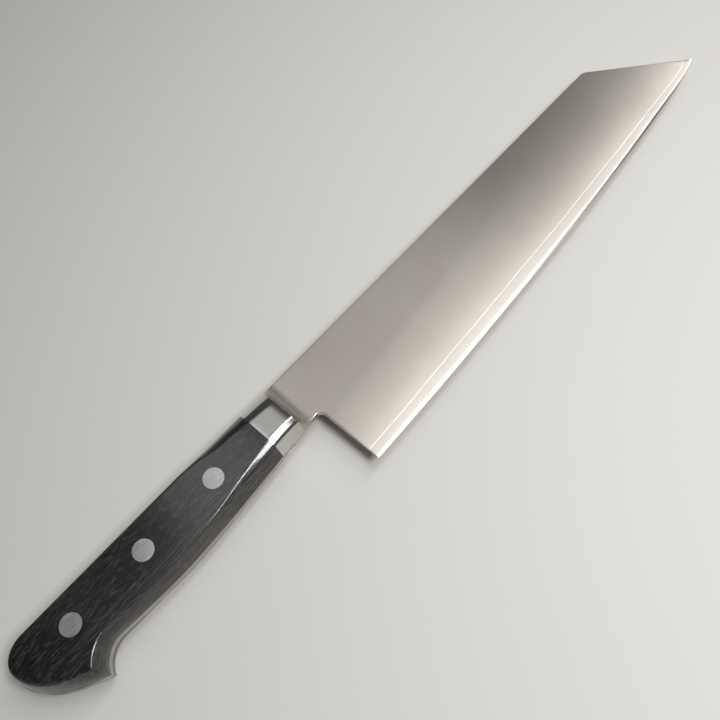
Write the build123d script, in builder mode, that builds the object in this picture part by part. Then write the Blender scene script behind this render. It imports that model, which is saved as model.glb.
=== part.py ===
from build123d import *
import os

# Kiritsuke knife lying on its left side, in millimetres.
# +X runs to the tip, +Y to the spine, and +Z up, out of the right side of the knife.
# The origin is the middle of the footprint, on the surface that the knife lies on.

# Blade
blade_length = 240.0
heel_height = 50.8
tip_cut_length = 37.5
tip_cut_height = 34.5
spine_thickness = 2.8
spine_thickness_at_tip = 1.6
core_thickness = 0.7
edge_bevel_height = 1.0
grind_shoulder_depth = 27.1
choil_radius = 2.5

# Handle
neck_length = 10.1
neck_depth = 21.5
bolster_length = 12.35
scale_length = 114.6
handle_thickness = 18.4
belly_depth = 27.0
bolster_drop = 2.0
shoulder_run = 6.2
shoulder_radius = 6.8
weld_from_front = 6.0

# Insets of the flat face from the tang's outline
rim_inset = 2.65
bolster_spine_inset = 7.4
bolster_belly_inset = 5.75
neck_belly_inset = 4.7
hook_corner_inset_along = 1.35
hook_corner_inset_across = 4.0

# Rivets
rivet_head_diameter = 8.0
rivet_head_depth = 2.0
rivet_tube_diameter = 5.0
rivet_pin_diameter = 3.0
rivet_tube_floor = 1.0
rivet_tube_end_gap = 0.5
rivet_pin_end_gap = 0.6
rivet_row_depth = 12.95
front_rivet_from_joint = 23.3
front_rivet_spacing = 33.8
rear_rivet_spacing = 32.6
shank_clearance = 0.1
head_clearance = 0.02

# Every cut runs past its work by this much
overrun = 5.0

# The grind, station by station from the heel, at 0, to the tip, at 1. The last station
# lies past the tip. Thicknesses are shares of the spine's.
station_shares = (0, 0.15, 0.3, 0.45, 0.6, 0.73, 0.84, 0.92, 0.965, 1, 1.03)
edge_rise_shares = (0, 0.042, 0.118, 0.207, 0.329, 0.476, 0.634, 0.77, 0.869, 1, 1.126)
shoulder_depth_shares = (1, 0.89, 0.79, 0.68, 0.53, 0.385, 0.27, 0.19, 0.15, 0.12, 0.1)
shoulder_stock_shares = (1, 0.894, 0.8, 0.717, 0.647, 0.596, 0.56, 0.538, 0.528, 0.52, 0.515)
edge_stock_shares = (0.1, 0.124, 0.144, 0.158, 0.178, 0.201, 0.218, 0.23, 0.232, 0.227, 0.222)

# The handle's outline along the tang: places are shares of the scale's length
# behind the bolster and of the belly's depth, and insets are shares of the rim's inset
butt_centre_shares = (0.9, 0.369)
butt_curve_shares = ((0.9753, 0.7116), (0.9135, 0.985))
butt_end_inset_share = 0.8
butt_inset_shares = ((0.68, 0.5), (0.55, 0.8))
hook_corner_shares = (0.8035, 1.227)
hook_start_shares = (0.7067, 0.946)
joint_depth_share = 0.879
belly_shares = (
    (0.075, 0.908),
    (0.15, 0.933),
    (0.2365, 0.961),
    (0.3266, 0.983),
    (0.468, 1),
    (0.5825, 0.981),
)
belly_inset_shares = (1.98, 1.7, 1.3, 1.06, 1.09, 1.09)
belly_crown_shares = (0.5, 0.2, 0.05, 0, 0, 0)
spine_places_shares = (0.075, 0.1395, 0.189, 0.233)
spine_extra_shares = (0.71, 0.55, 0.27, 0.1)
spine_straight_share = 0.3
neck_slope_share = 0.1
hook_slope_share = 0.06
butt_slope_share = 0.43

# How far each side has drawn in at each height, from the tang up to the face. The rim is
# nearly straight, the hook bulges, the bolster's spine side is a quarter of an ellipse, and
# the bolster's belly side has a crown above its ridge.
height_shares = (0, 0.2, 0.4, 0.64, 0.88, 1)
rim_shares = (0, 0.145, 0.3, 0.52, 0.79, 1)
hook_shares = (0, 0.03, 0.13, 0.38, 0.79, 1)
round_shares = (0, 0.02, 0.083, 0.232, 0.525, 1)
crown_shares = (0, 0.12, 0.25, 0.43, 0.64, 1)
ridge_height_share = 0.88

overall_length = blade_length + neck_length + bolster_length + scale_length
tip_x = overall_length / 2
heel_x = tip_x - blade_length
bolster_front_x = heel_x - neck_length
joint_x = bolster_front_x - bolster_length
weld_x = bolster_front_x - weld_from_front
spine_y = heel_height / 2
edge_rise = heel_height - tip_cut_height
mid_z = handle_thickness / 2
tang_top_z = mid_z + spine_thickness / 2
half_height = handle_thickness - tang_top_z
rivet_y = spine_y - rivet_row_depth
front_rivet_x = joint_x - front_rivet_from_joint
middle_rivet_x = front_rivet_x - front_rivet_spacing
rear_rivet_x = middle_rivet_x - rear_rivet_spacing
rivet_places = {"front": front_rivet_x, "middle": middle_rivet_x, "rear": rear_rivet_x}
middle_plane = Plane.XY.offset(mid_z)


def grip_point(along_share, depth_share, inset=(0, 0)):
    """A point of the handle's outline, moved in from the butt and the belly by the inset."""
    x = joint_x - along_share * scale_length + inset[0]
    y = spine_y - depth_share * belly_depth + inset[1]
    return (x, y)


def handle_outline(rim_share=0, hook_share=0, round_share=0, crown_share=0):
    """The handle's closed outline, from the neck to the butt, drawn in by these shares."""
    rim = rim_inset * rim_share
    bolster_extra = (bolster_spine_inset - rim_inset) * round_share
    centre = grip_point(*butt_centre_shares)
    butt_length = scale_length * (1 - butt_centre_shares[0])
    butt_height = belly_depth * butt_centre_shares[1]
    corner_inset = (hook_corner_inset_along * -hook_share, hook_corner_inset_across * hook_share)
    hook_corner = grip_point(*hook_corner_shares, corner_inset)
    hook_start = grip_point(*hook_start_shares, (0, rim_inset * hook_share))
    butt_points = []
    for place, inset in zip(butt_curve_shares, butt_inset_shares):
        butt_points.append(grip_point(*place, (rim * inset[0], rim * inset[1])))
    belly_points = [
        (heel_x, spine_y - neck_depth + neck_belly_inset * crown_share),
        grip_point(0, joint_depth_share, (0, bolster_belly_inset * crown_share)),
    ]
    for place, inset, crown in zip(belly_shares, belly_inset_shares, belly_crown_shares):
        drawn_in = rim_inset * inset * (rim_share + (crown_share - rim_share) * crown)
        belly_points.append(grip_point(*place, (0, drawn_in)))
    spine_points = [
        (heel_x, spine_y - rim - bolster_extra),
        grip_point(0, 0, (0, -rim - bolster_extra)),
    ]
    for place, extra in zip(spine_places_shares, spine_extra_shares):
        spine_points.append(grip_point(place, 0, (0, -rim - bolster_extra * extra)))
    straight_start = grip_point(spine_straight_share, 0, (0, -rim))
    straight_end = (centre[0], spine_y - rim)
    butt_width = butt_length - rim * butt_end_inset_share
    butt_end = (centre[0] - butt_width, centre[1])
    with BuildLine() as outline:
        Spline(*spine_points, straight_start, tangents=((-1, 0), (-1, 0)))
        Line(straight_start, straight_end)
        EllipticalCenterArc(centre, butt_width, butt_height - rim, 90, arc_size=90)
        Spline(butt_end, *butt_points, hook_corner, tangents=((0, -1), (1, -butt_slope_share)))
        TangentArc(hook_start, hook_corner, tangent=(-1, hook_slope_share))
        Spline(
            *belly_points,
            hook_start,
            tangents=((-1, -neck_slope_share), (-1, hook_slope_share)),
        )
        Line(spine_points[0], belly_points[0])
    return outline.line


# Tang: one plate of the blade's thickness, from the heel to the butt. The blade takes its
# front as the neck, back to the weld under the bolster.
with BuildPart() as tang_plate:
    with BuildSketch(Plane.XY.offset(mid_z - spine_thickness / 2)):
        make_face(handle_outline())
    extrude(amount=spine_thickness)

weld_plane = Plane.YZ.offset(weld_x)
neck_stock = split(tang_plate.part, bisect_by=weld_plane, keep=Keep.TOP)

with BuildPart() as tang:
    add(split(tang_plate.part, bisect_by=weld_plane, keep=Keep.BOTTOM, mode=Mode.PRIVATE))
    with Locations(*[(x, rivet_y, tang_top_z) for x in rivet_places.values()]):
        Hole(rivet_tube_diameter / 2 + shank_clearance)


def blade_section(share, rise_share, depth_share, shoulder_share, edge_share):
    """The blade's cross-section at a share of the way from the heel to the tip."""
    edge_y = spine_y - heel_height + edge_rise * rise_share
    shoulder_y = spine_y - grind_shoulder_depth * depth_share
    spine_half = (spine_thickness + (spine_thickness_at_tip - spine_thickness) * share) / 2
    shoulder_half = spine_thickness * shoulder_share / 2
    edge_half = spine_thickness * edge_share / 2
    bevel_y = edge_y + edge_bevel_height
    with BuildLine() as section:
        Polyline(
            (spine_y, spine_half),
            (shoulder_y, shoulder_half),
            (bevel_y, edge_half),
            (edge_y, 0),
            (bevel_y, -edge_half),
            (shoulder_y, -shoulder_half),
            (spine_y, -spine_half),
            close=True,
        )
    return section.line


# Blade: the whole forged bar with its grind, the cut that makes the tip, the neck and
# the rounded choil between the neck and the heel
with BuildPart() as blade_bar:
    for station in zip(
        station_shares,
        edge_rise_shares,
        shoulder_depth_shares,
        shoulder_stock_shares,
        edge_stock_shares,
    ):
        station_x = heel_x + blade_length * station[0]
        with BuildSketch(Plane(origin=(station_x, 0, mid_z), x_dir=(0, 1, 0), z_dir=(1, 0, 0))):
            make_face(blade_section(*station))
    loft()
    tip_cut_plane = Plane(
        origin=(tip_x - tip_cut_length, spine_y, 0),
        x_dir=(0, 0, 1),
        z_dir=(tip_cut_height, tip_cut_length, 0),
    )
    split(bisect_by=tip_cut_plane, keep=Keep.BOTTOM)
    add(neck_stock)
    choil_edge = edges().filter_by(Axis.Z).sort_by(Axis.X)[-1]
    fillet(choil_edge, choil_radius)

# The three layers of the bar: a hard core between two soft sides
core_top = Plane.XY.offset(mid_z + core_thickness / 2)
core_bottom = Plane.XY.offset(mid_z - core_thickness / 2)

with BuildPart() as right_cladding:
    add(split(blade_bar.part, bisect_by=core_top, keep=Keep.TOP, mode=Mode.PRIVATE))

with BuildPart() as blade_core:
    add(split(blade_bar.part, bisect_by=core_top, keep=Keep.BOTTOM, mode=Mode.PRIVATE))
    split(bisect_by=core_bottom, keep=Keep.TOP)

with BuildPart() as left_cladding:
    add(split(blade_bar.part, bisect_by=core_bottom, keep=Keep.BOTTOM, mode=Mode.PRIVATE))


# Right half of the handle as it is ground, bolster and scale in one: the sides come up
# from the tang to the ridge and over it to the flat face, and the front falls off in a
# hollow shoulder
levels = list(zip(height_shares, rim_shares, hook_shares, round_shares, crown_shares))
below_ridge = [level for level in levels if level[0] <= ridge_height_share]
above_ridge = [level for level in levels if level[0] >= ridge_height_share]

with BuildPart() as ground_half:
    for stretch in (below_ridge, above_ridge):
        for level in stretch:
            with BuildSketch(Plane.XY.offset(tang_top_z + half_height * level[0])):
                make_face(handle_outline(*level[1:]))
        loft()
    with BuildSketch(Plane.XZ):
        shoulder_top = (bolster_front_x, handle_thickness - bolster_drop)
        shoulder_foot = (bolster_front_x + shoulder_run, tang_top_z)
        with BuildLine():
            TangentArc((joint_x, handle_thickness), shoulder_top, tangent=(1, 0))
            RadiusArc(shoulder_top, shoulder_foot, -shoulder_radius)
            Polyline(
                shoulder_foot,
                (shoulder_foot[0], tang_top_z - overrun),
                (heel_x + overrun, tang_top_z - overrun),
                (heel_x + overrun, handle_thickness + overrun),
                (joint_x, handle_thickness + overrun),
                (joint_x, handle_thickness),
            )
        make_face()
    extrude(amount=heel_height, both=True, mode=Mode.SUBTRACT)

joint_plane = Plane.YZ.offset(joint_x)

with BuildPart() as right_bolster:
    add(split(ground_half.part, bisect_by=joint_plane, keep=Keep.TOP, mode=Mode.PRIVATE))

with BuildPart() as right_scale:
    add(split(ground_half.part, bisect_by=joint_plane, keep=Keep.BOTTOM, mode=Mode.PRIVATE))
    with Locations(*[(x, rivet_y, handle_thickness) for x in rivet_places.values()]):
        CounterBoreHole(
            rivet_tube_diameter / 2 + shank_clearance,
            rivet_head_diameter / 2 + head_clearance,
            rivet_head_depth,
        )

with BuildPart() as left_bolster:
    add(mirror(right_bolster.part, about=middle_plane, mode=Mode.PRIVATE))

with BuildPart() as left_scale:
    add(mirror(right_scale.part, about=middle_plane, mode=Mode.PRIVATE))

# Rivets: a tube with a head on the left side and a pin with a head on the right side,
# pressed into each other through scale, tang and scale
rivet_parts = {}
for rivet_name, rivet_x in rivet_places.items():
    with BuildPart() as rivet_tube:
        with Locations((rivet_x, rivet_y, 0)):
            Cylinder(
                rivet_head_diameter / 2,
                rivet_head_depth,
                align=(Align.CENTER, Align.CENTER, Align.MIN),
            )
            Cylinder(
                rivet_tube_diameter / 2,
                handle_thickness - rivet_head_depth - rivet_tube_end_gap,
                align=(Align.CENTER, Align.CENTER, Align.MIN),
            )
        with BuildSketch(Plane.XY.offset(rivet_tube_floor)):
            with Locations((rivet_x, rivet_y)):
                Circle(rivet_pin_diameter / 2)
        extrude(amount=handle_thickness, mode=Mode.SUBTRACT)
    rivet_parts[f"{rivet_name}_rivet_tube"] = rivet_tube.part
    with BuildPart() as rivet_pin:
        with Locations((rivet_x, rivet_y, handle_thickness)):
            Cylinder(
                rivet_head_diameter / 2,
                rivet_head_depth,
                align=(Align.CENTER, Align.CENTER, Align.MAX),
            )
            Cylinder(
                rivet_pin_diameter / 2,
                handle_thickness - rivet_tube_floor - rivet_pin_end_gap,
                align=(Align.CENTER, Align.CENTER, Align.MAX),
            )
    rivet_parts[f"{rivet_name}_rivet_pin"] = rivet_pin.part

os.makedirs("parts", exist_ok=True)
blade_core.part.label = "blade_core"
export_step(blade_core.part, "parts/blade_core.step")
right_cladding.part.label = "right_cladding"
export_step(right_cladding.part, "parts/right_cladding.step")
left_cladding.part.label = "left_cladding"
export_step(left_cladding.part, "parts/left_cladding.step")
tang.part.label = "tang"
export_step(tang.part, "parts/tang.step")
right_bolster.part.label = "right_bolster"
export_step(right_bolster.part, "parts/right_bolster.step")
left_bolster.part.label = "left_bolster"
export_step(left_bolster.part, "parts/left_bolster.step")
right_scale.part.label = "right_scale"
export_step(right_scale.part, "parts/right_scale.step")
left_scale.part.label = "left_scale"
export_step(left_scale.part, "parts/left_scale.step")
for part_name, rivet_part in rivet_parts.items():
    rivet_part.label = part_name
    export_step(rivet_part, f"parts/{part_name}.step")
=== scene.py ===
import math

import bmesh
import bpy
import numpy as np
from mathutils import Euler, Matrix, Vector


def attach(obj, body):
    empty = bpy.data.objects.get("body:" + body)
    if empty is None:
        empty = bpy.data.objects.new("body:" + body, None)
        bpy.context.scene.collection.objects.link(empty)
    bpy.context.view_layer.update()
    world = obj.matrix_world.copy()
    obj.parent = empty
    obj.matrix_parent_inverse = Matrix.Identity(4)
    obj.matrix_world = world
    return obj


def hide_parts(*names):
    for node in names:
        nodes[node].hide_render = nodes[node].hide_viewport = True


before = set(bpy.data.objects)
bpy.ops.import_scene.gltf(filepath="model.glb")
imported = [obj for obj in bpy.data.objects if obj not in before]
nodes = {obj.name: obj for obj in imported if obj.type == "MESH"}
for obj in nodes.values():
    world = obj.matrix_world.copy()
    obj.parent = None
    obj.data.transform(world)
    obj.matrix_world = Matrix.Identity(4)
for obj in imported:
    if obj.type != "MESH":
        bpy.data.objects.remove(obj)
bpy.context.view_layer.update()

MM = 0.001

# Camera
# It looks down on the knife from beside the belly of the handle, close by, as the
# photographer's did, so the handle comes out larger than the tip.
photo_width_px = 720
focal_length_px = 749.3
camera_data = bpy.data.cameras.new("camera")
camera_data.sensor_width = 36
camera_data.lens = focal_length_px / photo_width_px * camera_data.sensor_width
camera_data.clip_start = 0.01
camera = bpy.data.objects.new("camera", camera_data)
camera.location = Vector((-107.02, -95.95, 273.00)) * MM
camera.rotation_euler = Euler([math.radians(angle) for angle in (25.980, 4.818, -48.156)])
bpy.context.scene.collection.objects.link(camera)
bpy.context.scene.camera = camera

# Bench and light
# A painted bench in a plain room with pale walls and a dark ceiling, under six softboxes.
# The long strip lies over the cutting edge, so the steel darkens from the edge to the spine.
# The key makes the glint along the handle's ridge, and the others fill the flat faces.
bpy.context.scene.view_settings.view_transform = "Standard"


def linear(hex_colour):
    """An sRGB hex colour as linear RGBA."""
    channels = [int(hex_colour[i : i + 2], 16) / 255 for i in (1, 3, 5)]
    return [c / 12.92 if c <= 0.04045 else ((c + 0.055) / 1.055) ** 2.4 for c in channels] + [1]


def add_node(tree, kind, settings=None, inputs=None):
    """Adds a node with its settings, and its inputs as values or as sockets to link."""
    node = tree.nodes.new(kind)
    for name, value in (settings or {}).items():
        setattr(node, name, value)
    for name, value in (inputs or {}).items():
        if isinstance(value, bpy.types.NodeSocket):
            tree.links.new(value, node.inputs[name])
        else:
            node.inputs[name].default_value = value
    return node


def start_material(name):
    """A material with an empty node tree, and the tree."""
    material = bpy.data.materials.new(name)
    material.use_nodes = True
    material.node_tree.nodes.clear()
    return material, material.node_tree


# Matt paint: an even pale grey that shows the knife's soft shadow and no reflection
bench_colour = "#CDCBC6"
bench_material, tree = start_material("painted_bench")
shader = add_node(
    tree,
    "ShaderNodeBsdfPrincipled",
    inputs={"Base Color": linear(bench_colour), "Roughness": 0.9},
)
add_node(tree, "ShaderNodeOutputMaterial", inputs={"Surface": shader.outputs[0]})
bench_reach = 1.1
bench_corners = [
    (x * bench_reach, y * bench_reach, 0) for x, y in ((-1, -1), (1, -1), (1, 1), (-1, 1))
]
bench_mesh = bpy.data.meshes.new("bench")
bench_mesh.from_pydata(bench_corners, [], [(0, 1, 2, 3)])
bench = bpy.data.objects.new("bench", bench_mesh)
bench.data.materials.append(bench_material)
bpy.context.scene.collection.objects.link(bench)

# The walls show as a soft grey in the steel when it is seen from low down
ceiling_grey = 0.05
wall_grey = 0.5
walls_end = math.sin(math.radians(28))
world = bpy.data.worlds.new("room")
world.use_nodes = True
tree = world.node_tree
direction = add_node(tree, "ShaderNodeTexCoord")
height = add_node(tree, "ShaderNodeSeparateXYZ", inputs={"Vector": direction.outputs["Generated"]})
room_grey = add_node(
    tree,
    "ShaderNodeMapRange",
    {"interpolation_type": "SMOOTHSTEP"},
    {
        "Value": height.outputs[2],
        "From Max": walls_end,
        "To Min": wall_grey,
        "To Max": ceiling_grey,
    },
)
background = tree.nodes["Background"]
background.inputs["Color"].default_value = (1, 1, 1, 1)
tree.links.new(room_grey.outputs[0], background.inputs["Strength"])
bpy.context.scene.world = world

# Centres and sizes in metres, turns in degrees. Each lamp has a height of its own, because
# lamps that overlap in one plane hide each other from the steel.
for lamp_name, centre, size, turn, watts in (
    ("strip_softbox", (0.56, 0.024, 0.60), (1.06, 0.10), 10, 2.4),
    ("belly_softbox", (0.20, -0.16, 0.62), (0.40, 0.42), 0, 0.75),
    ("key", (0.03, -0.28, 0.59), (0.16, 0.20), 0, 2.8),
    ("spine_softbox", (0.16, 0.31, 0.61), (0.52, 0.32), 0, 0.26),
    ("handle_softbox", (-0.075, 0.25, 0.60), (0.13, 0.14), 0, 0.08),
    ("butt_softbox", (-0.80, 0.00, 0.60), (0.25, 0.60), 0, 0.8),
):
    lamp = bpy.data.lights.new(lamp_name, "AREA")
    lamp.shape = "RECTANGLE"
    lamp.size, lamp.size_y = size
    lamp.energy = watts
    lamp_object = bpy.data.objects.new(lamp_name, lamp)
    lamp_object.location = centre
    lamp_object.rotation_euler = (0, 0, math.radians(turn))
    bpy.context.scene.collection.objects.link(lamp_object)


# Tang
# The steel plate that the handle is built on. Its edge is the handle's outline, ground
# flush with the wood all round, and every other piece of the handle is drawn in from it.
blade_length = 240.0
heel_height = 50.8
neck_length = 10.1
neck_depth = 21.5
bolster_length = 12.35
scale_length = 114.6
belly_depth = 27.0
handle_thickness = 18.4
tang_thickness = 2.8
rim_inset = 2.65
bolster_spine_inset = 7.4
bolster_belly_inset = 5.75
neck_belly_inset = 4.7
hook_corner_inset = (-1.35, 4.0)
butt_centre = (0.9, 0.369)
butt_end_inset = 0.8
butt_points = ((0.9753, 0.7116, 0.68, 0.5), (0.9135, 0.985, 0.55, 0.8))
hook_corner = (0.8035, 1.227)
hook_start = (0.7067, 0.946)
joint_depth = 0.879
belly_points = (
    (0.075, 0.908, 1.98, 0.68),
    (0.15, 0.933, 1.7, 0.38),
    (0.2365, 0.961, 1.3, 0.14),
    (0.3266, 0.983, 1.06, 0),
    (0.468, 1, 1.09, 0),
    (0.5825, 0.981, 1.09, 0),
)
spine_points = ((0.075, 0.71), (0.1395, 0.55), (0.189, 0.27), (0.233, 0.1))
spine_straight = 0.3
neck_slope, hook_slope, butt_slope = 0.1, 0.06, 0.43
sides = ((1, "right"), (-1, "left"))

tip_x = (blade_length + neck_length + bolster_length + scale_length) / 2
heel_x = tip_x - blade_length
bolster_front_x = heel_x - neck_length
joint_x = bolster_front_x - bolster_length
spine_y = heel_height / 2
mid_z = handle_thickness / 2
tang_top_z = mid_z + tang_thickness / 2
half_height = handle_thickness - tang_top_z


def spline_through(places, values, start_slope, end_slope):
    """The smooth curve through values at places, with these slopes at its ends."""
    places = np.array(places, float)
    values = np.array(values, float).reshape(len(places), -1)
    gaps = np.diff(places)[:, None]
    rises = np.diff(values, axis=0) / gaps
    matrix = np.eye(len(places))
    wanted = np.zeros_like(values)
    wanted[0], wanted[-1] = start_slope, end_slope
    for i in range(1, len(places) - 1):
        before, after = 1 / gaps[i - 1, 0], 1 / gaps[i, 0]
        matrix[i, i - 1 : i + 2] = before, 2 * (before + after), after
        wanted[i] = 3 * (rises[i - 1] * before + rises[i] * after)
    slopes = np.linalg.solve(matrix, wanted)

    def at(place):
        place = np.atleast_1d(np.asarray(place, float))
        i = np.clip(np.searchsorted(places, place) - 1, 0, len(places) - 2)
        u = ((place - places[i]) / gaps[i, 0])[:, None]
        return (
            (2 * u**3 - 3 * u**2 + 1) * values[i]
            + (u**3 - 2 * u**2 + u) * slopes[i] * gaps[i]
            + (3 * u**2 - 2 * u**3) * values[i + 1]
            + (u**3 - u**2) * slopes[i + 1] * gaps[i]
        )

    return at


def outline_curve(points, start_direction, end_direction):
    """The smooth curve through points of an outline, and the places of those points on it."""
    points = np.array(points, float)
    places = np.concatenate([[0], np.cumsum(np.hypot(*np.diff(points, axis=0).T))])
    ends = [np.array(d, float) / np.hypot(*d) for d in (start_direction, end_direction)]
    return spline_through(places, points, *ends), places


def grip_point(along, depth, inset=(0, 0)):
    """A point of the handle's outline, from its shares of the scale's length and depth."""
    return (joint_x - along * scale_length + inset[0], spine_y - depth * belly_depth + inset[1])


def belly_curve(rim, hook, crown):
    """The belly from the neck to the start of the hook, drawn in by these shares."""
    points = [
        (heel_x, spine_y - neck_depth + neck_belly_inset * crown),
        grip_point(0, joint_depth, (0, bolster_belly_inset * crown)),
    ]
    for along, depth, inset, crowned in belly_points:
        drawn_in = rim_inset * inset * (rim + (crown - rim) * crowned)
        points.append(grip_point(along, depth, (0, drawn_in)))
    points.append(grip_point(*hook_start, (0, rim_inset * hook)))
    return outline_curve(points, (-1, -neck_slope), (-1, hook_slope))


def spine_curve(rim, rounded):
    """The spine side from the neck to where it runs straight, drawn in by these shares."""
    inset = rim_inset * rim
    extra = (bolster_spine_inset - rim_inset) * rounded
    points = [(heel_x, spine_y - inset - extra), grip_point(0, 0, (0, -inset - extra))]
    for along, kept in spine_points:
        points.append(grip_point(along, 0, (0, -inset - extra * kept)))
    points.append(grip_point(spine_straight, 0, (0, -inset)))
    return outline_curve(points, (-1, 0), (-1, 0))


merge_distance = 0.002 * MM
corner_angle = math.radians(32)


def finished_mesh(name, points, faces, attribute=None):
    """A merged mesh from points in millimetres, facing outwards, smooth but for its corners."""
    mesh = bpy.data.meshes.new(name)
    mesh.from_pydata((np.asarray(points) * MM).tolist(), [], faces)
    if attribute:
        layer = mesh.attributes.new(attribute[0], "FLOAT", "POINT")
        layer.data.foreach_set("value", np.asarray(attribute[1], np.float32))
    shape = bmesh.new()
    shape.from_mesh(mesh)
    bmesh.ops.remove_doubles(shape, verts=shape.verts, dist=merge_distance)
    bmesh.ops.dissolve_degenerate(shape, edges=shape.edges, dist=merge_distance)
    loose = [vertex for vertex in shape.verts if not vertex.link_faces]
    bmesh.ops.delete(shape, geom=loose, context="VERTS")
    bmesh.ops.recalc_face_normals(shape, faces=shape.faces)
    shape.to_mesh(mesh)
    shape.free()
    mesh.shade_smooth()
    mesh.set_sharp_from_angle(angle=corner_angle)
    return mesh


def add_piece(name, mesh, material, slot, *replaced):
    """Shows a mesh as a piece that rides on the knife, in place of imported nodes."""
    piece = bpy.data.objects.new(name, mesh)
    bpy.context.scene.collection.objects.link(piece)
    mesh.materials.clear()
    mesh.materials.append(material)
    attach(piece, "root")
    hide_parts(*replaced)
    return piece


def ground_steel(
    name, colour, dark_colour, roughness, depth, pitch_mm, stretch, turn=0, line=None, satin=None
):
    """Ground steel, with its belt marks and, if it has them, a forge line or a satin front.

    The marks are pitch_mm apart before the stretch, they run at this turn in degrees, and
    depth, from 0 to 1, says how deep they are cut.
    """
    cloud_size_mm, cloud_tone = 16.7, 0.6
    mark_tone, mean_tone, mark_gloss, mark_relief = 1.4, 0.2, 0.32, 0.8
    mark_height_mm = 0.02
    material, tree = start_material(name)
    place = add_node(tree, "ShaderNodeTexCoord")
    turned = add_node(
        tree,
        "ShaderNodeMapping",
        inputs={
            "Vector": place.outputs["Object"],
            "Rotation": (0, 0, math.radians(turn)),
            "Scale": stretch,
        },
    )
    # Belt marks: parallel strokes that show which way the piece was ground
    marks = add_node(
        tree,
        "ShaderNodeTexNoise",
        inputs={
            "Vector": turned.outputs[0],
            "Scale": 1 / (pitch_mm * MM),
            "Detail": 3,
            "Roughness": 0.65,
        },
    )
    # Clouds: hand finishing leaves wide, barely darker patches, so the steel isn't one flat tone
    clouds = add_node(
        tree,
        "ShaderNodeTexNoise",
        inputs={
            "Vector": place.outputs["Object"],
            "Scale": 1 / (cloud_size_mm * MM),
            "Detail": 3,
            "Roughness": 0.5,
        },
    )
    mark_shade = add_node(
        tree,
        "ShaderNodeMath",
        {"operation": "MULTIPLY_ADD"},
        {0: marks.outputs["Fac"], 1: mark_tone * depth, 2: mean_tone - mark_tone / 2 * depth},
    )
    shade = add_node(
        tree,
        "ShaderNodeMath",
        {"operation": "MULTIPLY_ADD", "use_clamp": True},
        {0: clouds.outputs["Fac"], 1: cloud_tone, 2: mark_shade.outputs[0]},
    )
    colours = add_node(
        tree,
        "ShaderNodeMix",
        {"data_type": "RGBA"},
        {"Factor": shade.outputs[0], "A": linear(dark_colour), "B": linear(colour)},
    )
    # The gloss follows the marks, so they glint in the light instead of looking painted on
    gloss = add_node(
        tree,
        "ShaderNodeMath",
        {"operation": "MULTIPLY_ADD"},
        {
            0: marks.outputs["Fac"],
            1: mark_gloss * depth,
            2: roughness - mark_gloss / 2 * depth,
        },
    )
    if satin:
        # A duller, warmer front, where the buffing wheel doesn't reach into the hollow
        axes = add_node(tree, "ShaderNodeSeparateXYZ", inputs={"Vector": place.outputs["Object"]})
        front = add_node(
            tree,
            "ShaderNodeMapRange",
            inputs={
                "Value": axes.outputs[0],
                "From Min": satin["from_mm"] * MM,
                "From Max": (satin["from_mm"] + satin["fade_mm"]) * MM,
            },
        )
        gloss = add_node(
            tree,
            "ShaderNodeMath",
            {"operation": "MULTIPLY_ADD"},
            {0: front.outputs[0], 1: satin["rougher"], 2: gloss.outputs[0]},
        )
        colours = add_node(
            tree,
            "ShaderNodeMix",
            {"data_type": "RGBA"},
            {
                "Factor": front.outputs[0],
                "A": colours.outputs["Result"],
                "B": linear(satin["colour"]),
            },
        )
    if line:
        # The forge line: a thin light line that swells and thins where the layers meet
        above = add_node(tree, "ShaderNodeAttribute", {"attribute_name": line["attribute"]})
        swelling = add_node(
            tree,
            "ShaderNodeTexNoise",
            inputs={
                "Vector": place.outputs["Object"],
                "Scale": 1 / (line["swelling_mm"] * MM),
                "Detail": 2,
            },
        )
        width = add_node(
            tree,
            "ShaderNodeMath",
            {"operation": "MULTIPLY"},
            {0: swelling.outputs["Fac"], 1: line["width_mm"]},
        )
        distance = add_node(
            tree, "ShaderNodeMath", {"operation": "ABSOLUTE"}, {0: above.outputs["Fac"]}
        )
        across = add_node(
            tree,
            "ShaderNodeMath",
            {"operation": "DIVIDE", "use_clamp": True},
            {0: distance.outputs[0], 1: width.outputs[0]},
        )
        off_line = add_node(
            tree, "ShaderNodeMath", {"operation": "POWER"}, {0: across.outputs[0], 1: 2.0}
        )
        colours = add_node(
            tree,
            "ShaderNodeMix",
            {"data_type": "RGBA"},
            {
                "Factor": off_line.outputs[0],
                "A": linear(line["colour"]),
                "B": colours.outputs["Result"],
            },
        )
    # Relief only where the marks are deep enough to feel, as on the tang and the rivets
    bump = add_node(
        tree,
        "ShaderNodeBump",
        inputs={
            "Strength": mark_relief * depth**2,
            "Distance": mark_height_mm * MM,
            "Height": marks.outputs["Fac"],
        },
    )
    shader = add_node(
        tree,
        "ShaderNodeBsdfPrincipled",
        inputs={
            "Base Color": colours.outputs["Result"],
            "Metallic": 1.0,
            "Roughness": gloss.outputs[0],
            "Normal": bump.outputs[0],
        },
    )
    add_node(tree, "ShaderNodeOutputMaterial", inputs={"Surface": shader.outputs[0]})
    return material


# Ground along its edge with a coarse belt, which leaves a grey line with a dull sheen. Real
# belt marks are about 0.05 mm apart, too fine to show in the render, so here and on the other
# steels they are drawn coarser.
tang_steel = ground_steel(
    "ground_stainless_tang",
    colour="#C6C3BE",
    dark_colour="#96928C",
    roughness=0.34,
    depth=0.5,
    pitch_mm=0.3,
    stretch=(0.1, 0.1, 1),
)
nodes["tang"].data.materials.clear()
nodes["tang"].data.materials.append(tang_steel)

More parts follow.
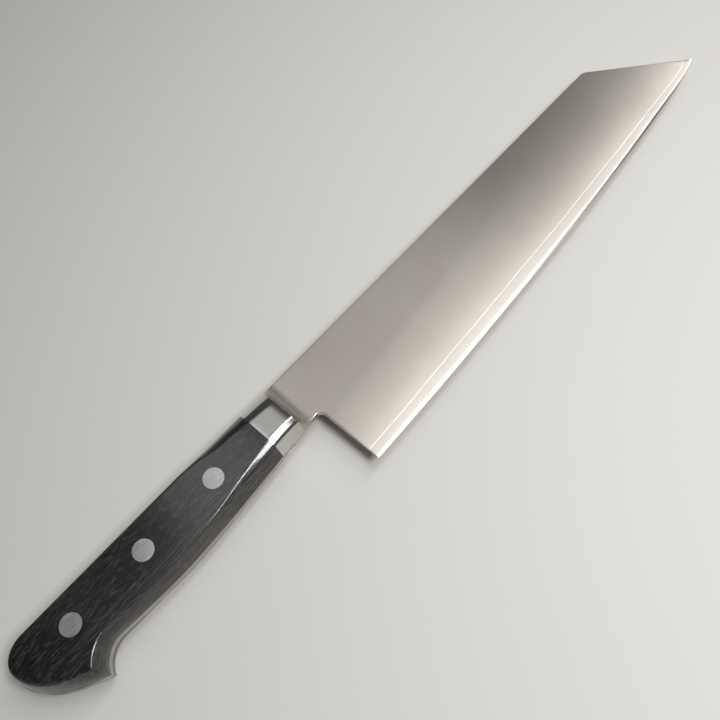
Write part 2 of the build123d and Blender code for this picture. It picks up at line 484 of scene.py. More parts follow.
# Blade
# A forged bar of three layers, hard core steel between two soft stainless sides, ground to
# a wedge below a soft shoulder. The grind runs out through the side layers, so the core
# comes to the surface along the edge, below a thin wavering line. Belt-ground to a satin.
tip_cut_length = 37.5
tip_cut_height = 34.5
spine_thickness_at_tip = 1.6
core_half = 0.35
edge_bevel_height = 1.0
grind_bulge = 0.05
grind_shoulder_depth = 27.1
shoulder_softness = 1.8
choil_radius = 2.5
weld_from_front = 6.0
blade_edge_ease = 0.3
most_eased_share = 0.6
core_cover, core_cover_slope = 0.05, 0.04

# The forge line's waves: height, length over 2 pi, and shift from side to side
forge_waves = ((0.22, 23.0, 1.0), (0.09, 8.3, 2.1), (0.05, 3.4, 0.7), (0.03, 1.5, 1.9))

# The grind from the heel, at 0, to the tip, at 1. Thicknesses are shares of the spine's.
stations = (0, 0.15, 0.3, 0.45, 0.6, 0.73, 0.84, 0.92, 0.965, 1, 1.03)
edge_rises = (0, 0.042, 0.118, 0.207, 0.329, 0.476, 0.634, 0.77, 0.869, 1, 1.126)
shoulder_depths = (1, 0.89, 0.79, 0.68, 0.53, 0.385, 0.27, 0.19, 0.15, 0.12, 0.1)
shoulder_stocks = (1, 0.894, 0.8, 0.717, 0.647, 0.596, 0.56, 0.538, 0.528, 0.52, 0.515)
edge_stocks = (0.1, 0.124, 0.144, 0.158, 0.178, 0.201, 0.218, 0.23, 0.232, 0.227, 0.222)


def station_curve(values):
    """A station table as a function of the place along the blade."""
    first = (values[1] - values[0]) / (stations[1] - stations[0])
    last = (values[-1] - values[-2]) / (stations[-1] - stations[-2])
    curve = spline_through(stations, values, first, last)
    return lambda x: curve((np.maximum(x, heel_x) - heel_x) / blade_length)[:, 0]


edge_rise_at = station_curve(edge_rises)
shoulder_depth_at = station_curve(shoulder_depths)
shoulder_stock_at = station_curve(shoulder_stocks)
edge_stock_at = station_curve(edge_stocks)


def top_y(x):
    """The spine, and from its corner on the straight cut down to the tip."""
    return spine_y - tip_cut_height * np.maximum(x - tip_x + tip_cut_length, 0) / tip_cut_length


def edge_y(x):
    return spine_y - heel_height + (heel_height - tip_cut_height) * edge_rise_at(x)


def grind_lines(x):
    """The spine's, shoulder's and bevel's half thicknesses, and the last two's heights."""
    share = (np.maximum(x, heel_x) - heel_x) / blade_length
    spine = (tang_thickness + (spine_thickness_at_tip - tang_thickness) * share) / 2
    shoulder = tang_thickness * shoulder_stock_at(x) / 2
    bevel = tang_thickness * edge_stock_at(x) / 2
    shoulder_y = spine_y - grind_shoulder_depth * shoulder_depth_at(x)
    return spine, shoulder, bevel, shoulder_y, edge_y(x) + edge_bevel_height


def half_thickness(x, y):
    """Half the ground bar's thickness, with the shoulder of the grind rounded softly."""
    spine, shoulder, bevel, shoulder_y, bevel_y = grind_lines(x)
    flat_slope = (spine - shoulder) / (spine_y - shoulder_y)
    grind_slope = (shoulder - bevel) / (shoulder_y - bevel_y)
    flat = shoulder + (y - shoulder_y) * flat_slope
    down = np.clip((shoulder_y - y) / (shoulder_y - bevel_y), 0, 1)
    ground = shoulder + (y - shoulder_y) * grind_slope + 4 * grind_bulge * down * (1 - down)
    soft = (grind_slope - flat_slope) * shoulder_softness
    body = np.minimum(flat, ground) - np.maximum(soft - abs(flat - ground), 0) ** 2 / (4 * soft)
    return np.maximum(np.minimum(body, bevel * (y - edge_y(x)) / edge_bevel_height), 0)


def lamination_y(x, side):
    """Where the core comes to the surface. Forging leaves the line slightly wavy."""
    _, shoulder, bevel, shoulder_y, bevel_y = grind_lines(x)
    wave = sum(height * np.sin(x / length + shift * side) for height, length, shift in forge_waves)
    line = bevel_y + (core_half - bevel) / (shoulder - bevel) * (shoulder_y - bevel_y) + wave
    return np.minimum(line, top_y(x))


weld_x = bolster_front_x - weld_from_front
neck_curve, neck_places = belly_curve(0, 0, 0)
neck_line = neck_curve(np.linspace(neck_places[0], neck_places[1], 40))[::-1]
choil_x = heel_x - choil_radius
choil_y = float(np.interp(choil_x, *neck_line.T)) - choil_radius


def neck_bottom(x):
    """The underside of the neck, and the rounded corner between it and the heel."""
    into = np.clip(x - choil_x, 0, choil_radius)
    rounded = choil_y + np.sqrt(choil_radius**2 - into**2)
    return np.where(x < choil_x, np.interp(x, *neck_line.T), rounded)


def eased(x, y, thickness):
    """The thickness where the spine's, neck's and heel's edges are broken with a stone."""
    round_choil = np.hypot(x - choil_x, y - choil_y) - choil_radius
    below = np.where(x < choil_x, y - neck_bottom(x), round_choil)
    below = np.where((x >= choil_x) & (y < choil_y), x - heel_x, below)
    inside = np.clip(np.minimum(top_y(x) - y, below), 0, blade_edge_ease)
    drop = blade_edge_ease - np.sqrt(blade_edge_ease**2 - (blade_edge_ease - inside) ** 2)
    return thickness - np.minimum(drop, thickness * most_eased_share)


# Columns of points run down the blade, closer together round the choil and at the heel, and
# rows run along it, closer together at the eased edges
neck_column_count, blade_column_count = 14, 208
neck_row_count, side_row_count, core_row_count = 34, 44, 8
choil_turns = np.radians(np.linspace(0, 90, 10)[1:-1])
neck_columns = np.concatenate(
    [np.linspace(weld_x, choil_x, neck_column_count), choil_x + choil_radius * np.sin(choil_turns)]
)
heel_steps = np.array([0, 0.05, 0.12, 0.22, 0.35])
even_columns = np.linspace(heel_x, tip_x, blade_column_count)
blade_columns = np.concatenate([heel_x + heel_steps, even_columns[1:]])
edge_steps = np.array([0.04, 0.1, 0.18, 0.3]) / (spine_y - choil_y)
neck_rows = np.concatenate(
    [[0], edge_steps, np.linspace(0.02, 0.98, neck_row_count), 1 - edge_steps[::-1], [1]]
)


def blade_sheet(side, columns, rows, neck_count, core_face):
    """One face of a layer as columns of points, and each point's height above the line.

    Rows run from the spine, at 0, to the line, at 1, the bevel, at 2, and the edge, at 3.
    The neck has only the first of them.
    """
    points, above = [], []
    line = lamination_y(columns, side)
    bevel = np.minimum(grind_lines(columns)[4], line)
    for i, x in enumerate(np.concatenate([neck_columns, columns])):
        xs = np.full(len(rows), x)
        if i < len(neck_columns):
            down = np.minimum(rows / rows[neck_count - 1], 1)
            y = spine_y - (spine_y - neck_bottom(xs)) * down
            line_y = float(line[0])
        else:
            line_y = line[i - len(neck_columns)]
            edge = float(edge_y(np.array([x]))[0])
            levels = (top_y(x), line_y, bevel[i - len(neck_columns)], edge)
            y = np.interp(rows, range(4), levels)
        thickness = eased(xs, y, half_thickness(xs, y))
        if core_face:
            # Above the line the core stays under the side layer's surface
            cover = np.minimum(core_cover, core_cover_slope * (y - line_y))
            thickness = np.where(rows < 1, np.minimum(thickness - cover, core_half), thickness)
        points.append(np.stack([xs, y, mid_z + side * thickness], axis=1))
        above.append(y - line_y)
    return np.concatenate(points), np.concatenate(above)


def blade_layer(name, upper, lower, column_count, rows, neck_count):
    """The closed mesh of a layer between its two faces."""
    full = len(rows)
    faces = []
    for i in range(column_count - 1):
        depth = neck_count if i < len(neck_columns) else full
        for j in range(i * full, i * full + depth - 1):
            faces.append((j, j + 1, j + full + 1, j + full))
    return shell_mesh(name, upper, lower, faces)


def shell_mesh(name, upper, lower, faces):
    """A closed mesh of two sheets that have the same faces, joined all round their rims."""
    count = len(upper[0])
    edges = {(a, b) for face in faces for a, b in zip(face, face[1:] + face[:1])}
    rim = [(b, a, a + count, b + count) for a, b in edges if (b, a) not in edges]
    under = [tuple(vertex + count for vertex in reversed(face)) for face in faces]
    points, above = (np.concatenate(both) for both in zip(upper, lower))
    return finished_mesh(name, points, faces + under + rim, ("above_forge_line", above))


forge_line = {
    "attribute": "above_forge_line",
    "width_mm": 0.42,
    "swelling_mm": 3.85,
    "colour": "#F8F5EC",
}
# A fine satin, which blurs the lamps into one soft fade from the edge to the spine. The marks
# are drawn 1.2 mm apart and so faint that they hardly show, and they lean a little, as on a
# blade that is drawn across the belt by hand.
blade_satin = {
    "roughness": 0.285,
    "depth": 0.12,
    "pitch_mm": 1.2,
    "stretch": (1, 0.05, 1),
    "turn": 12,
    "line": forge_line,
}
core_steel = ground_steel("satin_carbon_steel_core", "#CDC8BE", "#BBB3AB", **blade_satin)
side_steel = ground_steel("satin_stainless_cladding", "#D1CCC1", "#BFB6AF", **blade_satin)


def neck_share(side):
    """Where the neck's underside lies, as a share of the way from the spine to the line."""
    line_y = float(lamination_y(np.array([heel_x]), side)[0])
    return (spine_y - choil_y) / (spine_y - line_y)


for side, name in sides:
    inside = blade_columns[lamination_y(blade_columns, side) < top_y(blade_columns)]
    columns = np.append(inside, blade_columns[len(inside)])
    share = neck_share(side)
    rows = np.concatenate([neck_rows * share, np.linspace(share, 1, side_row_count)[1:]])
    outer, inner = (
        blade_sheet(side, columns, rows, len(neck_rows), core_face) for core_face in (False, True)
    )
    column_count = len(neck_columns) + len(columns)
    mesh = blade_layer(f"{name}_side_layer", outer, inner, column_count, rows, len(neck_rows))
    add_piece(f"{name}_side_layer", mesh, side_steel, "cladding_steel", f"{name}_cladding")

# The core has few rows under the side layers, and its others from the line to the edge
sheets = []
for side, _ in sides:
    hidden_rows = [0, neck_share(side), 1]
    shown_rows = [1.01, 1.03, 1.08, *np.linspace(1.15, 2, core_row_count), 2.33, 2.67, 3]
    rows = np.array(hidden_rows + shown_rows)
    sheets.append(blade_sheet(side, blade_columns, rows, 2, True))
mesh = blade_layer("core_layer", *sheets, len(neck_columns) + len(blade_columns), rows, 2)
add_piece("core_layer", mesh, core_steel, "core_steel", "blade_core")

# Bolster
# Two solid steel halves welded on over the neck. They are hollow-ground in front, where
# they run out into the blade, rounded towards the spine and the belly, and buffed bright.
shoulder_run = 6.2
shoulder_radius = 6.8
bolster_drop = 2.0
bolster_middle_y = 13.0

# The height from the tang to the face, and how far the outline is drawn in there, as shares
# of the insets of the rim, the hook, the rounded spine and the crowned belly
height_shares = (0, 0.2, 0.4, 0.64, 0.88)
drawn_in_shares = (
    (0, 0, 0, 0),
    (0.145, 0.03, 0.02, 0.11),
    (0.3, 0.13, 0.083, 0.22),
    (0.52, 0.38, 0.232, 0.35),
    (0.79, 0.79, 0.525, 0.61),
)
crown_end_slope = 2.4
side_heights = np.append(np.linspace(0, height_shares[-1], 12), 1)
slopes = np.diff(drawn_in_shares, axis=0) / np.diff(height_shares)[:, None]
slopes[-1, 3] = crown_end_slope
side_curve = spline_through(height_shares, drawn_in_shares, slopes[0], slopes[-1])
side_shares = np.vstack([side_curve(side_heights[:-1]), np.ones((1, 4))])

# How far the edges are softened, in mm: at the tang, just under the edge and on the edge
belly_softness = (0.14, 0.12, 0.5)
spine_softness = (0.2, 0.35, 0.9)
shoulder_softness = 0.12
profile_count, half_count = 110, 100
level_gap = 1e-4


def rounded_line(points, count, softness):
    """A line of points, evenly divided again, with its corners softened by this many mm."""
    lengths = np.linalg.norm(np.diff(points, axis=0), axis=1)
    steps = np.concatenate([[0], np.cumsum(lengths)])
    place = np.linspace(0, steps[-1], count)
    even = np.stack([np.interp(place, steps, axis) for axis in points.T], axis=1)
    reach = np.minimum(softness(even), np.minimum(place, steps[-1] - place) / 3) + 1e-6
    weights = np.exp(-((place[:, None] - place[None, :]) ** 2) / (2 * reach[:, None] ** 2))
    return weights @ even / weights.sum(axis=1, keepdims=True)


def crown_z(x):
    """The bolster's height, which falls off in an arc from the scale to its front."""
    drop_radius = (bolster_length**2 + bolster_drop**2) / (2 * bolster_drop)
    return handle_thickness - drop_radius + np.sqrt(drop_radius**2 - (x - joint_x) ** 2)


def shoulder_profile():
    """The bolster's top, from the scale down over the hollow shoulder to the blade."""
    x = np.linspace(joint_x, bolster_front_x, 60)
    crown = np.stack([x, crown_z(x)], axis=1)
    start = np.array([bolster_front_x, handle_thickness - bolster_drop])
    end = np.array([bolster_front_x + shoulder_run, tang_top_z])
    chord = end - start
    half = np.hypot(*chord) / 2
    across = np.array([-chord[1], chord[0]]) / (2 * half)
    centre = (start + end) / 2 + across * math.sqrt(shoulder_radius**2 - half**2)
    first, last = (math.atan2(*(p - centre)[::-1]) for p in (start, end))
    angles = np.linspace(first, last + (2 * math.pi if last < first else 0), 60)
    hollow = centre + shoulder_radius * np.stack([np.cos(angles), np.sin(angles)], axis=1)
    return np.concatenate([crown, hollow[1:]])


def side_lines(curve, columns):
    """The y of each side height's outline at every x between the neck and the joint."""
    lines = []
    for shares in side_shares:
        at, places = curve(*shares)
        x, y = at(np.linspace(places[0], places[1], 60))[::-1].T
        lines.append(np.interp(columns, x, y))
    return np.array(lines)


def bolster_side(lines, x, cap, softness):
    """Half of a section across the bolster, from the tang up over its edge to the middle."""
    level = tang_top_z + (crown_z(x) - tang_top_z) * side_heights
    up = level < cap - level_gap
    y = np.concatenate([lines[up], [np.interp(cap, level, lines), bolster_middle_y]])
    z = np.concatenate([level[up], [cap, cap]])
    softness_z = (tang_top_z, level[-2], level[-1])
    line = rounded_line(
        np.stack([y, z], axis=1),
        half_count,
        lambda even: np.interp(even[:, 1], softness_z, softness),
    )
    return np.column_stack([np.full(half_count, x), line])


def grid_faces(column_count, row_count):
    """Four-cornered faces between columns of points that follow one another."""
    faces = []
    for i in range(column_count - 1):
        for j in range(i * row_count, (i + 1) * row_count - 1):
            faces.append((j, j + 1, j + row_count + 1, j + row_count))
    return faces


def on_side(points, side):
    """The points as they are for the right side, and mirrored for the left."""
    points = points.copy()
    points[:, 2] = mid_z + side * (points[:, 2] - mid_z)
    return points


profile = rounded_line(
    shoulder_profile(), profile_count, lambda even: np.full(len(even), shoulder_softness)
)
belly_lines = side_lines(
    lambda rim, hook, rounded, crown: belly_curve(rim, hook, crown), profile[:, 0]
)
spine_lines = side_lines(
    lambda rim, hook, rounded, crown: spine_curve(rim, rounded), profile[:, 0]
)
sections = []
for (x, cap), belly, spine in zip(profile, belly_lines.T, spine_lines.T):
    cap = max(cap, tang_top_z)
    lower = bolster_side(belly, x, cap, belly_softness)
    upper = bolster_side(spine, x, cap, spine_softness)
    sections.append(np.concatenate([lower, upper[-2::-1]]))
section_count = 2 * half_count - 1
bolster_points = np.concatenate(sections)
starts = [i * section_count for i in range(len(sections))]
under = starts + [start + section_count - 1 for start in reversed(starts)]
bolster_faces = grid_faces(len(sections), section_count)
bolster_faces += [tuple(under), tuple(range(section_count))]

# Buffed lengthwise. The marks are shallow, so they only blur the mirror finish a little.
bolster_steel = ground_steel(
    "buffed_stainless_bolster",
    colour="#D8D7D2",
    dark_colour="#CBCAC5",
    roughness=0.17,
    depth=0.25,
    pitch_mm=0.2,
    stretch=(0.05, 1, 1),
    satin={
        "from_mm": bolster_front_x,
        "fade_mm": 0.4,
        "rougher": 0.20,
        "colour": "#BEB8AE",
    },
)
for side, name in sides:
    mesh = finished_mesh(f"{name}_bolster_half", on_side(bolster_points, side), bolster_faces)
    add_piece(f"{name}_bolster_half", mesh, bolster_steel, "bolster_steel", f"{name}_bolster")

# Scales
# Two slabs of black resin-filled wood laminate, drilled and counterbored for the rivets,
# sanded to shape on the tang and oiled. Their veneers lie parallel to the tang, so their
# edges come out as fine contour lines where the wood slopes.
rivet_head_diameter = 8.0
rivet_head_depth = 2.0
rivet_tube_diameter = 5.0
rivet_pin_diameter = 3.0
rivet_row_y = spine_y - 12.95
rivet_places = {"front": joint_x - 23.3, "middle": joint_x - 57.1, "rear": joint_x - 89.7}
bore_clearance = 0.02
drill_clearance = 0.1

# How far the sanding softens the edges, in mm: below the edge of the flat face and on it
scale_belly_softness = (0.14, 0.28)
scale_spine_softness = (0.3, 0.5)
softer_at_joint = 0.22
soft_edge_from = 0.8
flat_steps = (0.5, 1.0, 1.6)

# Points on each part of a ring, on the part by the joint that is softer, and up each column
spine_count, straight_count, butt_count = 40, 26, 36
lower_butt_count, hook_count, belly_count = 56, 30, 100
softer_count, column_count = 45, 80


def scale_ring(rim, hook, rounded, crown):
    """The scale's outline: the spine, the butt, the hook and the belly back to the joint."""
    spine, places = spine_curve(rim, rounded)
    ring = [spine(np.linspace(places[1], places[-1], spine_count))]
    centre = np.array(grip_point(*butt_centre))
    inset = rim_inset * rim
    ring.append(np.linspace(ring[0][-1], (centre[0], spine_y - inset), straight_count)[1:])
    radii = (
        scale_length * (1 - butt_centre[0]) - inset * butt_end_inset,
        belly_depth * butt_centre[1] - inset,
    )
    turn = np.radians(np.linspace(90, 180, butt_count))[1:]
    ring.append(centre + np.stack([radii[0] * np.cos(turn), radii[1] * np.sin(turn)], axis=1))
    corner = grip_point(*hook_corner, (hook_corner_inset[0] * hook, hook_corner_inset[1] * hook))
    points = [ring[-1][-1]]
    for along, depth, inset_x, inset_y in butt_points:
        points.append(grip_point(along, depth, (inset * inset_x, inset * inset_y)))
    points.append(corner)
    butt, places = outline_curve(points, (0, -1), (1, -butt_slope))
    ring.append(butt(np.linspace(0, places[-1], lower_butt_count))[1:])
    start = np.array(grip_point(*hook_start, (0, rim_inset * hook)))
    tangent = np.array([-1, hook_slope]) / math.hypot(1, hook_slope)
    across = np.array([tangent[1], -tangent[0]])
    chord = np.array(corner) - start
    radius = chord @ chord / (2 * chord @ across)
    hook_centre = start + across * radius
    first, last = (math.atan2(*(p - hook_centre)[::-1]) for p in (start, corner))
    turn = np.linspace(last, first, hook_count)[1:]
    ring.append(hook_centre + abs(radius) * np.stack([np.cos(turn), np.sin(turn)], axis=1))
    belly, places = belly_curve(rim, hook, crown)
    ring.append(belly(np.linspace(places[-1], places[1], belly_count))[1:])
    return np.concatenate(ring)


rings = np.array([scale_ring(*shares) for shares in side_shares])
ring_count = rings.shape[1]
side_z = tang_top_z + half_height * side_heights
softness_z = (tang_top_z + soft_edge_from * half_height, handle_thickness)
columns = []
for k in range(ring_count):
    inward = rings[-1, k] - rings[0, k]
    inward = inward / np.hypot(*inward)
    flat = [rings[-1, k] + inward * step for step in flat_steps]
    outline = np.vstack([rings[:, k], flat])
    line = np.column_stack([outline, np.append(side_z, [handle_thickness] * len(flat))])
    softness = scale_spine_softness
    if k > ring_count - belly_count:
        toward_joint = max(k - (ring_count - softer_count), 0) / softer_count
        below_edge, on_edge = scale_belly_softness
        softness = (below_edge, on_edge + softer_at_joint * toward_joint)
    columns.append(
        rounded_line(line, column_count, lambda even: np.interp(even[:, 2], softness_z, softness))
    )
scale_points = np.concatenate(columns)
scale_faces = grid_faces(ring_count, column_count)
first_column = list(range(column_count))
last_column = [(ring_count - 1) * column_count + j for j in range(column_count)]
scale_faces.append(tuple(i * column_count for i in range(ring_count)))
scale_faces.append(tuple((i + 1) * column_count - 1 for i in reversed(range(ring_count))))
scale_faces.append(tuple(first_column + last_column[::-1]))


def lathe_mesh(name, profile, places):
    """Turned solids of one profile of (radius, height) pairs, standing at several places."""
    turns = 64
    points, faces = [], []
    for x, y in places:
        start = len(points)
        for radius, height in profile:
            for angle in np.linspace(0, 2 * math.pi, turns, endpoint=False):
                points.append((x + radius * math.cos(angle), y + radius * math.sin(angle), height))
        for ring in range(len(profile) - 1):
            for j in range(turns):
                a, b = start + ring * turns + j, start + ring * turns + (j + 1) % turns
                faces.append((a, b, b + turns, a + turns))
        faces.append(tuple(range(start, start + turns)))
        faces.append(tuple(range(len(points) - turns, len(points))))
    return finished_mesh(name, points, faces)


def made_mesh(maker):
    """The mesh that an object's modifiers make, smooth but for its corners."""
    depsgraph = bpy.context.evaluated_depsgraph_get()
    mesh = bpy.data.meshes.new_from_object(maker.evaluated_get(depsgraph))
    bpy.data.objects.remove(maker)
    mesh.shade_smooth()
    mesh.set_sharp_from_angle(angle=corner_angle)
    return mesh


# Each pattern has a turn in degrees, sizes in mm along X, Y and Z, its detail, roughness and
# distortion, and the part of the noise that shows. Real pores are about 0.1 mm wide, too fine
# to show, so the grain is drawn coarser. The veneers have their real 0.5 mm.
scale_wood, tree = start_material("black_laminated_wood")
place = add_node(tree, "ShaderNodeTexCoord")
noises, shown = {}, {}
for pattern, turn, sizes_mm, detail, rough, distorted, shown_from, shown_to in (
    # Grey streaks along the grain, so the flat face looks like wood and not like plastic
    ("grain", 3, (3.03, 0.435, 0.435), 4, 0.65, 0.3, 0.50, 0.70),
    # Contour lines where the sanding cuts slantwise through the layers
    ("veneers", 0, (83.3, 83.3, 0.526), 1, 0.5, 0.0, 0.45, 0.65),
    # Long lines along the belly, which lead the eye along its slope
    ("long_lines", -2, (71.4, 0.667, 0.667), 1, 0.5, 0.0, 0.50, 0.68),
):
    turned = add_node(
        tree,
        "ShaderNodeMapping",
        inputs={
            "Vector": place.outputs["Object"],
            "Rotation": (0, 0, math.radians(turn)),
            "Scale": [1 / (size_mm * MM) for size_mm in sizes_mm],
        },
    )
    noises[pattern] = add_node(
        tree,
        "ShaderNodeTexNoise",
        inputs={
            "Vector": turned.outputs[0],
            "Scale": 1.0,
            "Detail": detail,
            "Roughness": rough,
            "Distortion": distorted,
        },
    )
    shown[pattern] = add_node(
        tree,
        "ShaderNodeMapRange",
        {"interpolation_type": "SMOOTHSTEP"},
        {
            "Value": noises[pattern].outputs["Fac"],
            "From Min": shown_from,
            "From Max": shown_to,
        },
    )
veneer_strength, long_line_strength = 0.35, 0.8
long_lines_start_y, long_lines_full_y = 12.0, 2.0
axes = add_node(tree, "ShaderNodeSeparateXYZ", inputs={"Vector": place.outputs["Object"]})
near_belly = add_node(
    tree,
    "ShaderNodeMapRange",
    {"interpolation_type": "SMOOTHSTEP"},
    {
        "Value": axes.outputs[1],
        "From Min": long_lines_start_y * MM,
        "From Max": long_lines_full_y * MM,
        "To Max": long_line_strength,
    },
)
tone = add_node(
    tree,
    "ShaderNodeMath",
    {"operation": "MULTIPLY_ADD"},
    {0: shown["veneers"].outputs[0], 1: veneer_strength, 2: shown["grain"].outputs[0]},
)
tone = add_node(
    tree,
    "ShaderNodeMath",
    {"operation": "MULTIPLY_ADD", "use_clamp": True},
    {0: shown["long_lines"].outputs[0], 1: near_belly.outputs[0], 2: tone.outputs[0]},
)
wood_colour = add_node(
    tree,
    "ShaderNodeMix",
    {"data_type": "RGBA"},
    {"Factor": tone.outputs[0], "A": linear("#040404"), "B": linear("#423F3C")},
)
# The grain is duller and stands a little lower than the resin, so its streaks catch the
# light in turn. The thin coat of oil over both gives the ridges their sharp glint.
grain_dullness, resin_roughness = 0.40, 0.14
grain_relief_mm = 0.10
wood_roughness = add_node(
    tree,
    "ShaderNodeMath",
    {"operation": "MULTIPLY_ADD"},
    {0: noises["grain"].outputs["Fac"], 1: grain_dullness, 2: resin_roughness},
)
wood_bump = add_node(
    tree,
    "ShaderNodeBump",
    inputs={
        "Strength": 1.0,
        "Distance": grain_relief_mm * MM,
        "Height": noises["grain"].outputs["Fac"],
    },
)
shader = add_node(
    tree,
    "ShaderNodeBsdfPrincipled",
    inputs={
        "Base Color": wood_colour.outputs["Result"],
        "Roughness": wood_roughness.outputs[0],
        "IOR": 1.55,
        "Coat Weight": 0.6,
        "Coat Roughness": 0.12,
        "Normal": wood_bump.outputs[0],
    },
)
add_node(tree, "ShaderNodeOutputMaterial", inputs={"Surface": shader.outputs[0]})

bore = rivet_head_diameter / 2 + bore_clearance
drill = rivet_tube_diameter / 2 + drill_clearance
hole_places = [(x, rivet_row_y) for x in rivet_places.values()]
for side, name in sides:
    face_z = mid_z + side * (handle_thickness - mid_z)
    step_z = face_z - side * rivet_head_depth
    heights = ((bore, face_z + side), (bore, step_z), (drill, step_z), (drill, mid_z))
    cutter = bpy.data.objects.new("cutter", lathe_mesh("cutter", heights, hole_places))
    bpy.context.scene.collection.objects.link(cutter)
    mesh = finished_mesh(f"{name}_scale_slab", on_side(scale_points, side), scale_faces)
    blank = bpy.data.objects.new("blank", mesh)
    bpy.context.scene.collection.objects.link(blank)
    drilled = blank.modifiers.new("rivet_holes", "BOOLEAN")
    drilled.operation = "DIFFERENCE"
    drilled.object = cutter
    drilled.solver = "EXACT"
    mesh = made_mesh(blank)
    bpy.data.objects.remove(cutter)
    add_piece(f"{name}_scale_slab", mesh, scale_wood, "scale_wood", f"{name}_scale")

# Rivets
# Cutler's rivets of mild steel: a pin with a head from the right and a tube with a head
# from the left, pressed into each other through scale, tang and scale. Their heads are
# ground flush with the wood and left with slanting scratches.
rivet_tube_floor = 1.0
rivet_tube_end_gap = 0.5
rivet_pin_end_gap = 0.6
rivet_head_crown = 0.05

rivet_row = bpy.data.node_groups.new("cutlers_rivet_row", "GeometryNodeTree")
for socket_name, socket_kind in (
    ("Row", "NodeSocketGeometry"),
    ("Head Diameter", "NodeSocketFloat"),
    ("Head Depth", "NodeSocketFloat"),
    ("Head Crown", "NodeSocketFloat"),
    ("Shank Diameter", "NodeSocketFloat"),
    ("Shank Length", "NodeSocketFloat"),
    ("Bored", "NodeSocketBool"),
    ("Bore Diameter", "NodeSocketFloat"),
    ("Bore Floor", "NodeSocketFloat"),
    ("Turn", "NodeSocketFloat"),
    ("Steel", "NodeSocketMaterial"),
):
    rivet_row.interface.new_socket(socket_name, in_out="INPUT", socket_type=socket_kind)
rivet_row.interface.new_socket("Rivets", in_out="OUTPUT", socket_type="NodeSocketGeometry")

sizes = add_node(rivet_row, "NodeGroupInput").outputs
place = add_node(rivet_row, "GeometryNodeInputPosition")
axes = add_node(rivet_row, "ShaderNodeSeparateXYZ", inputs={"Vector": place.outputs[0]})

# The heights and sums that the shapes need, each worked out from the values above it
value_of = {socket.name: socket for socket in sizes}
value_of |= {axis: axes.outputs[axis] for axis in "XYZ"}
for value_name, operation, first, second in (
    ("x_squared", "MULTIPLY", "X", "X"),
    ("y_squared", "MULTIPLY", "Y", "Y"),
    ("from_middle_squared", "ADD", "x_squared", "y_squared"),
    ("head_radius", "DIVIDE", "Head Diameter", 2.0),
    ("head_radius_squared", "MULTIPLY", "head_radius", "head_radius"),
    ("fallen_share", "DIVIDE", "from_middle_squared", "head_radius_squared"),
    ("fallen", "MULTIPLY", "fallen_share", "Head Crown"),
    ("crown_offset", "MULTIPLY", "fallen", -1.0),
    ("head_middle", "MULTIPLY", "Head Depth", -0.5),
    ("on_face", "GREATER_THAN", "Z", "head_middle"),
    ("shank_below", "ADD", "Shank Length", "head_middle"),
    ("bore_top", "MULTIPLY", "Bore Floor", -1.0),
):
    value_of[value_name] = add_node(
        rivet_row,
        "ShaderNodeMath",
        {"operation": operation},
        {0: value_of.get(first, first), 1: value_of.get(second, second)},
    ).outputs[0]


def turned_bar(diameter, length, top, rings):
    """A round bar that hangs down from this height, with its ends divided into rings."""
    radius = add_node(rivet_row, "ShaderNodeMath", {"operation": "DIVIDE"}, {0: diameter, 1: 2.0})
    middle = add_node(
        rivet_row, "ShaderNodeMath", {"operation": "MULTIPLY_ADD"}, {0: length, 1: -0.5, 2: top}
    )
    bar = add_node(
        rivet_row,
        "GeometryNodeMeshCylinder",
        inputs={
            "Vertices": 72,
            "Fill Segments": rings,
            "Radius": radius.outputs[0],
            "Depth": length,
        },
    )
    drop = add_node(rivet_row, "ShaderNodeCombineXYZ", inputs={"Z": middle.outputs[0]})
    moved = add_node(
        rivet_row,
        "GeometryNodeTransform",
        inputs={"Geometry": bar.outputs["Mesh"], "Translation": drop.outputs[0]},
    )
    return moved.outputs[0]


# The head's face has rings of points, so that grinding can leave it very slightly crowned
head = turned_bar(sizes["Head Diameter"], sizes["Head Depth"], 0.0, 8)
offset = add_node(rivet_row, "ShaderNodeCombineXYZ", inputs={"Z": value_of["crown_offset"]})
crowned = add_node(
    rivet_row,
    "GeometryNodeSetPosition",
    inputs={"Geometry": head, "Selection": value_of["on_face"], "Offset": offset.outputs[0]},
)
shank = turned_bar(sizes["Shank Diameter"], value_of["shank_below"], value_of["head_middle"], 1)
solid = add_node(rivet_row, "GeometryNodeMeshBoolean", {"operation": "UNION"})
rivet_row.links.new(crowned.outputs[0], solid.inputs["Mesh 2"])
rivet_row.links.new(shank, solid.inputs["Mesh 2"])
bore = turned_bar(sizes["Bore Diameter"], sizes["Shank Length"], value_of["bore_top"], 1)
hollow = add_node(
    rivet_row,
    "GeometryNodeMeshBoolean",
    {"operation": "DIFFERENCE"},
    {"Mesh 1": solid.outputs[0], "Mesh 2": bore},
)
rivet = add_node(
    rivet_row,
    "GeometryNodeSwitch",
    {"input_type": "GEOMETRY"},
    {"Switch": sizes["Bored"], "False": solid.outputs[0], "True": hollow.outputs[0]},
)
turned = add_node(rivet_row, "ShaderNodeCombineXYZ", inputs={"X": sizes["Turn"]})
rivets = add_node(
    rivet_row,
    "GeometryNodeInstanceOnPoints",
    inputs={
        "Points": sizes["Row"],
        "Instance": rivet.outputs[0],
        "Rotation": turned.outputs[0],
    },
)
rivets = add_node(rivet_row, "GeometryNodeRealizeInstances", inputs={"Geometry": rivets.outputs[0]})
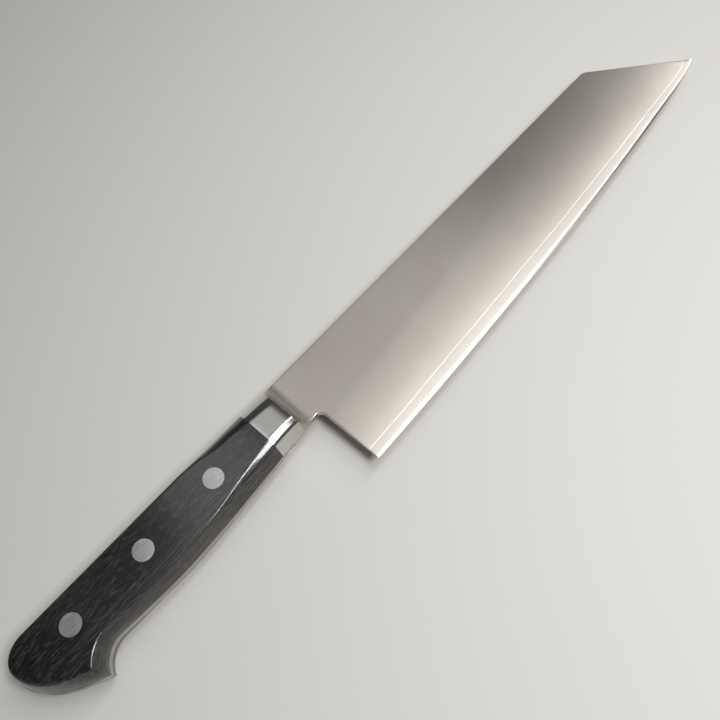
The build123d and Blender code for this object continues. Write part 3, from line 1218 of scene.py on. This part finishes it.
rivets = add_node(
    rivet_row,
    "GeometryNodeSetMaterial",
    inputs={"Geometry": rivets.outputs[0], "Material": sizes["Steel"]},
)
add_node(rivet_row, "NodeGroupOutput", inputs={"Rivets": rivets.outputs[0]})
input_of = {
    socket.name: socket.identifier
    for socket in rivet_row.interface.items_tree
    if socket.in_out == "INPUT"
}

# Deep scratches, drawn coarser than the real ones like the tang's. They make the heads dull
# and streaky beside the bright bolster.
rivet_steel = ground_steel(
    "flush_ground_steel_rivet",
    colour="#F6F5F3",
    dark_colour="#A5A3A1",
    roughness=0.42,
    depth=0.8,
    pitch_mm=0.3,
    stretch=(0.12, 1, 1),
    turn=40,
)
for kind, face_z, own_sizes in (
    (
        "pin",
        handle_thickness,
        {
            "Shank Diameter": rivet_pin_diameter * MM,
            "Shank Length": (handle_thickness - rivet_tube_floor - rivet_pin_end_gap) * MM,
        },
    ),
    (
        "tube",
        0,
        {
            "Shank Diameter": rivet_tube_diameter * MM,
            "Shank Length": (handle_thickness - rivet_head_depth - rivet_tube_end_gap) * MM,
            "Bored": True,
            "Bore Diameter": rivet_pin_diameter * MM,
            "Bore Floor": rivet_tube_floor * MM,
            "Turn": math.pi,
        },
    ),
):
    row_mesh = bpy.data.meshes.new(f"rivet_{kind}_row")
    face_places = [Vector((x, rivet_row_y, face_z)) * MM for x in rivet_places.values()]
    row_mesh.from_pydata(face_places, [], [])
    row = bpy.data.objects.new(f"rivet_{kind}_row", row_mesh)
    bpy.context.scene.collection.objects.link(row)
    making = row.modifiers.new("rivets", "NODES")
    making.node_group = rivet_row
    own_sizes |= {
        "Head Diameter": rivet_head_diameter * MM,
        "Head Depth": rivet_head_depth * MM,
        "Head Crown": rivet_head_crown * MM,
        "Steel": rivet_steel,
    }
    for socket_name, value in own_sizes.items():
        making[input_of[socket_name]] = value
    replaced = [f"{place_name}_rivet_{kind}" for place_name in rivet_places]
    add_piece(f"rivet_{kind}s", made_mesh(row), rivet_steel, "rivet_steel", *replaced)
